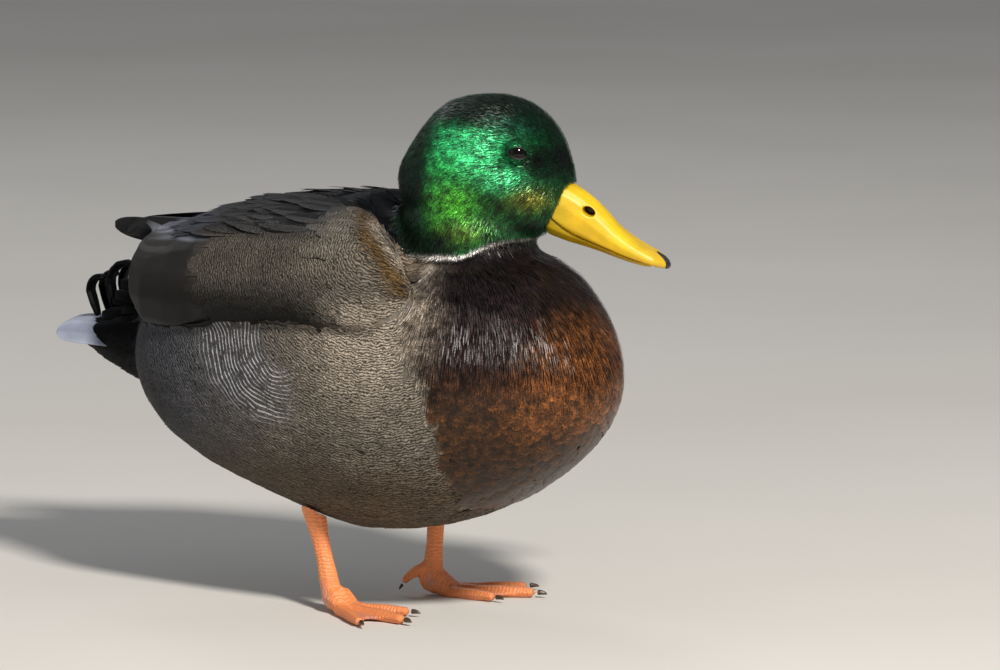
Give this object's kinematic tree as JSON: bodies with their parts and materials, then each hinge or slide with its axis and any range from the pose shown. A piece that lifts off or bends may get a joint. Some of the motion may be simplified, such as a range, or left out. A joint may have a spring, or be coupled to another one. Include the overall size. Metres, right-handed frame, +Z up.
{
  "type": "duck",
  "caption": "A drake mallard duck standing at rest, green head drawn down and turned a little to its left, wings folded, curled tail coverts, on webbed orange feet.",
  "frame": {"origin": "on the floor, under the middle of the bird's bounding box", "axes": "+X the way the breast points, along the body; +Y to the bird's left; +Z up"},
  "size_m": [0.3052, 0.1424, 0.229],
  "materials": {
    "body_plumage": "soft dense contour feathers, chestnut on the breast and grey on the flanks and belly",
    "wing_plumage": "smooth overlapping scapular and tertial feathers",
    "tail_plumage": "glossy black covert feathers",
    "tail_feathers": "stiff pale tail feathers",
    "head_plumage": "short iridescent green feathers",
    "collar": "narrow white feather collar",
    "bill_horn": "smooth keratin over soft skin, slightly greasy gloss",
    "black_horn": "hard polished keratin",
    "eye": "wet, mirror-smooth",
    "leg_skin": "scaled orange skin with a soft sheen"
  },
  "bodies": {
    "root": {"trunk": "body_plumage", "neck": "collar", "wing_right": "wing_plumage", "wing_left": "wing_plumage", "tail_coverts": "tail_plumage", "tail_fan": "tail_feathers", "curl_rear_right": "tail_plumage", "curl_rear_left": "tail_plumage", "curl_front_right": "tail_plumage", "curl_front_left": "tail_plumage", "head": "head_plumage", "bill_upper": "bill_horn", "bill_lower": "bill_horn", "bill_nail": "black_horn", "eye_right": "eye", "eye_left": "eye", "leg_right": "leg_skin", "leg_left": "leg_skin", "foot_right": "leg_skin", "foot_left": "leg_skin", "claw_right_inner": "black_horn", "claw_right_middle": "black_horn", "claw_right_outer": "black_horn", "claw_right_back": "black_horn", "claw_left_inner": "black_horn", "claw_left_middle": "black_horn", "claw_left_outer": "black_horn", "claw_left_back": "black_horn"}
  },
  "joints": []
}
